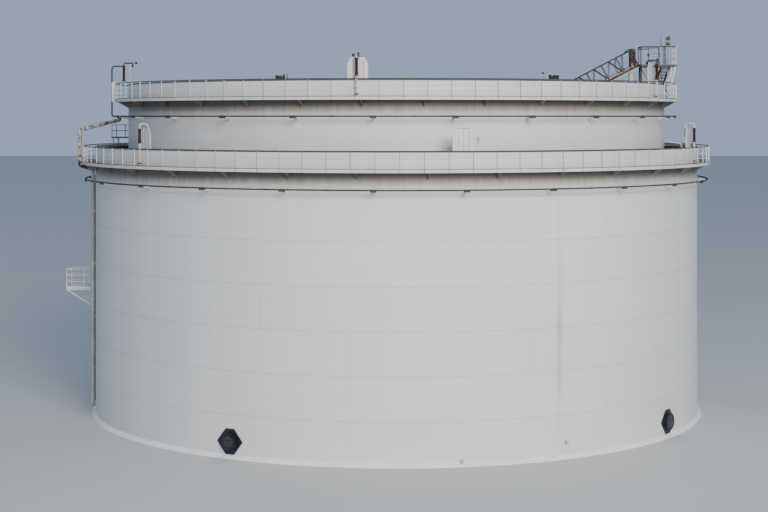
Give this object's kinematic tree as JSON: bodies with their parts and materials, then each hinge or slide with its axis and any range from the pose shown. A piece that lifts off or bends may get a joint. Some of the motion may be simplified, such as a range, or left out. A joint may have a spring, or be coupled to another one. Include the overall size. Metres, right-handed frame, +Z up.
{
  "type": "vertical storage tank, 1:2 scale model",
  "caption": "Floating-roof storage tank standing in a lower cup tank, with ring walkways, railings, foam pipes, a gauging platform and a rolling ladder.",
  "frame": {"origin": "centre of the cup's bottom plate, on the ground", "axes": "+Z up along the tank's axis, -Y towards the front with the pictured side, +X to the right, where the gauging platform is"},
  "size_m": [21.597, 20.788, 12.35],
  "materials": {
    "shell_paint": "satin white tank paint, a little chalky, with faint weld lines and brown streaks",
    "walkway_paint": "white paint with rust at edges and joints",
    "railing_paint": "white paint, worn at the corners",
    "bottom_plate": "dull grey primer on steel plate",
    "foam_unit_paint": "red-brown paint on the foam tube, white riser and board",
    "ring_main_paint": "dark grey pipe with rust stains",
    "pipe_paint": "off-white pipe paint",
    "rusted_pipe": "red primer and rust",
    "instrument_grey": "grey instrument housing",
    "roof_plate": "grey plate with water stains",
    "seal_rubber": "black weather seal",
    "ladder_paint": "red-brown primer",
    "manhole_paint": "near-black paint"
  },
  "bodies": {
    "root": {"base_skirt": "shell_paint", "outer_shell_1": "shell_paint", "outer_shell_2": "shell_paint", "outer_shell_3": "shell_paint", "outer_shell_4": "shell_paint", "inner_shell_1": "shell_paint", "inner_shell_2": "shell_paint", "inner_shell_3": "shell_paint", "inner_shell_4": "shell_paint", "inner_shell_5": "shell_paint", "inner_shell_6": "shell_paint", "inner_shell_7": "shell_paint", "inner_shell_8": "shell_paint", "cup_bottom": "bottom_plate", "inner_bottom": "bottom_plate", "lower_walkway_1": "walkway_paint", "lower_walkway_2": "walkway_paint", "lower_walkway_3": "walkway_paint", "lower_walkway_4": "walkway_paint", "upper_walkway_1": "walkway_paint", "upper_walkway_2": "walkway_paint", "upper_walkway_3": "walkway_paint", "upper_walkway_4": "walkway_paint", "lower_railing_1": "railing_paint", "lower_railing_2": "railing_paint", "lower_railing_3": "railing_paint", "lower_railing_4": "railing_paint", "upper_railing_1": "railing_paint", "upper_railing_2": "railing_paint", "upper_railing_3": "railing_paint", "upper_railing_4": "railing_paint", "lower_foam_unit_1": "foam_unit_paint", "lower_foam_unit_2": "foam_unit_paint", "lower_foam_unit_3": "foam_unit_paint", "lower_foam_unit_4": "foam_unit_paint", "lower_foam_unit_5": "foam_unit_paint", "lower_foam_unit_6": "foam_unit_paint", "upper_foam_unit_1": "foam_unit_paint", "upper_foam_unit_2": "foam_unit_paint", "upper_foam_unit_3": "foam_unit_paint", "upper_foam_unit_4": "foam_unit_paint", "upper_foam_unit_5": "foam_unit_paint", "lower_ring_main": "ring_main_paint", "upper_ring_main": "ring_main_paint", "foam_supply_pipe": "pipe_paint", "foam_riser": "rusted_pipe", "side_platform": "railing_paint", "gauge_platform": "walkway_paint", "crossing_platform": "railing_paint", "gauge_stair": "walkway_paint", "guide_pole": "pipe_paint", "gauge_head": "instrument_grey", "floating_roof": "roof_plate", "roof_seal": "seal_rubber", "rolling_ladder": "ladder_paint", "ladder_track": "roof_plate", "manhole_1": "manhole_paint", "manhole_2": "manhole_paint"}
  },
  "joints": []
}
